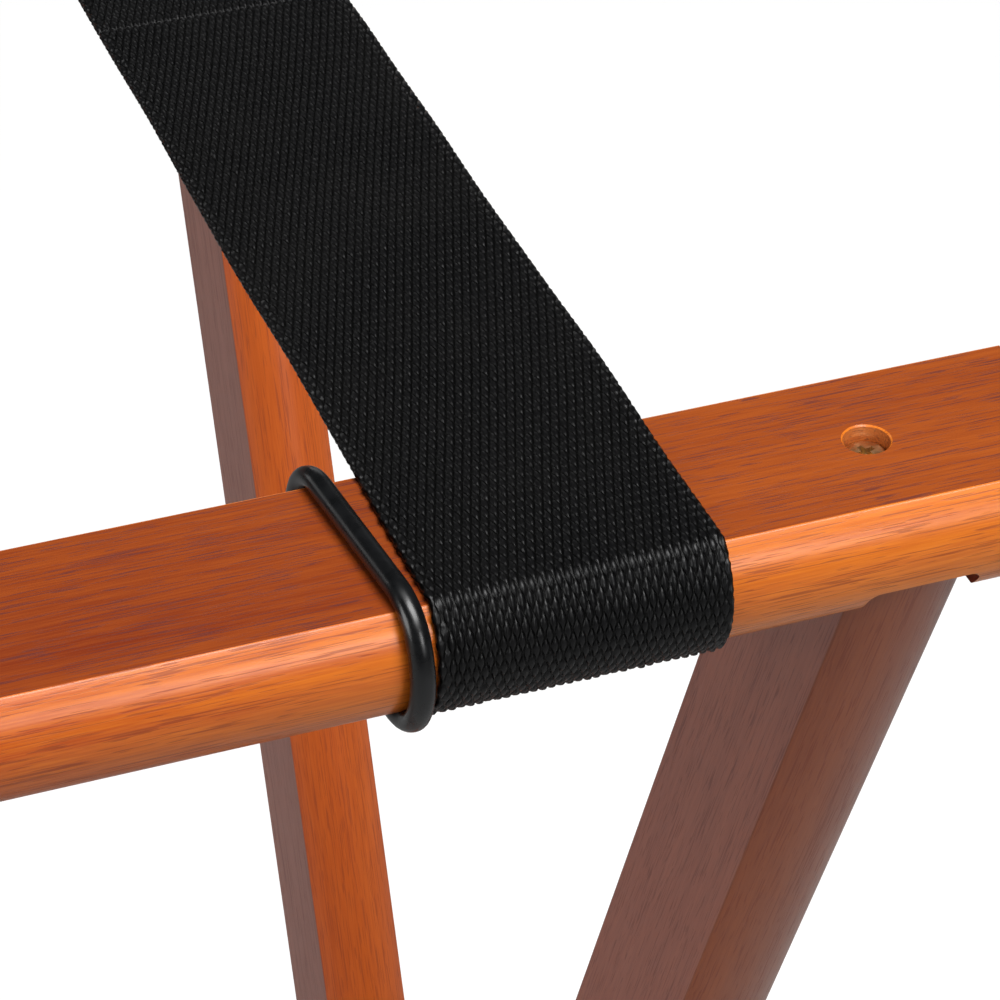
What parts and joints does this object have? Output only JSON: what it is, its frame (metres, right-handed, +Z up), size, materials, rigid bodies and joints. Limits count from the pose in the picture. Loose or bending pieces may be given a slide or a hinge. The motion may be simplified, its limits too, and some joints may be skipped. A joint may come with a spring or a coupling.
{
  "type": "folding luggage rack",
  "caption": "X-frame folding luggage rack: bulged wooden rails and legs, black webbing straps stapled round the rails, rubber rings as buffers, pinned crossing.",
  "frame": {"origin": "on the floor midway between the four feet, straight below the pivot", "axes": "+X along the rails, +Y from the outer frame's rail towards the inner frame's rail, +Z up"},
  "size_m": [0.48, 0.3756, 0.8175],
  "materials": {
    "rail_wood": "satin lacquer over reddish brown stain",
    "leg_wood": "satin lacquer over reddish brown stain",
    "stretcher_wood": "satin lacquer over reddish brown stain",
    "dowel_wood": "plain",
    "strap_webbing": "woven, slightly glossy",
    "ring_rubber": "satin",
    "wood_screw_steel": "yellow passivated zinc",
    "pivot_steel": "bright zinc",
    "staple_steel": "bright zinc",
    "washer_nylon": "natural nylon"
  },
  "bodies": {
    "outer_frame": {"outer_rail": "rail_wood", "outer_leg_left": "leg_wood", "outer_leg_right": "leg_wood", "outer_stretcher": "stretcher_wood", "outer_rail_screws": "wood_screw_steel", "outer_stretcher_screws": "wood_screw_steel", "outer_stretcher_dowels": "dowel_wood", "strap_left_outer_wrap": "strap_webbing", "strap_middle_outer_wrap": "strap_webbing", "strap_right_outer_wrap": "strap_webbing", "outer_strap_staples": "staple_steel", "outer_ring_left": "ring_rubber", "outer_ring_right": "ring_rubber", "pivot_sleeves": "pivot_steel", "pivot_screws": "pivot_steel", "pivot_washers": "washer_nylon"},
    "inner_frame": {"inner_rail": "rail_wood", "inner_leg_left": "leg_wood", "inner_leg_right": "leg_wood", "inner_stretcher": "stretcher_wood", "inner_rail_screws": "wood_screw_steel", "inner_stretcher_screws": "wood_screw_steel", "inner_stretcher_dowels": "dowel_wood", "strap_left_inner_wrap": "strap_webbing", "strap_middle_inner_wrap": "strap_webbing", "strap_right_inner_wrap": "strap_webbing", "inner_strap_staples": "staple_steel", "inner_ring_left": "ring_rubber", "inner_ring_right": "ring_rubber"},
    "outer_spans": {"strap_left_outer_span": "strap_webbing", "strap_middle_outer_span": "strap_webbing", "strap_right_outer_span": "strap_webbing"},
    "inner_spans": {"strap_left_inner_span": "strap_webbing", "strap_middle_inner_span": "strap_webbing", "strap_right_inner_span": "strap_webbing"}
  },
  "joints": [
    {"name": "fold", "type": "hinge", "parent": "outer_frame", "child": "inner_frame", "pos_m": [0, 0, 0.3936], "axis": [1, 0, 0], "range_deg": [0, 36.55]},
    {"name": "outer_span_drop", "type": "hinge", "parent": "outer_frame", "child": "outer_spans", "pos_m": [0, -0.14218, 0.8138], "axis": [1, 0, 0], "range_deg": [-71, 0], "deforming": ["strap_left_outer_span", "strap_middle_outer_span", "strap_right_outer_span"]},
    {"name": "inner_span_drop", "type": "hinge", "parent": "inner_frame", "child": "inner_spans", "pos_m": [0, 0.14218, 0.8138], "axis": [1, 0, 0], "range_deg": [0, 71], "deforming": ["strap_left_inner_span", "strap_middle_inner_span", "strap_right_inner_span"]}
  ],
  "couplings": [
    {"joint": "outer_span_drop", "follows": "fold", "ratio": -1.927},
    {"joint": "inner_span_drop", "follows": "fold", "ratio": 1.927}
  ]
}
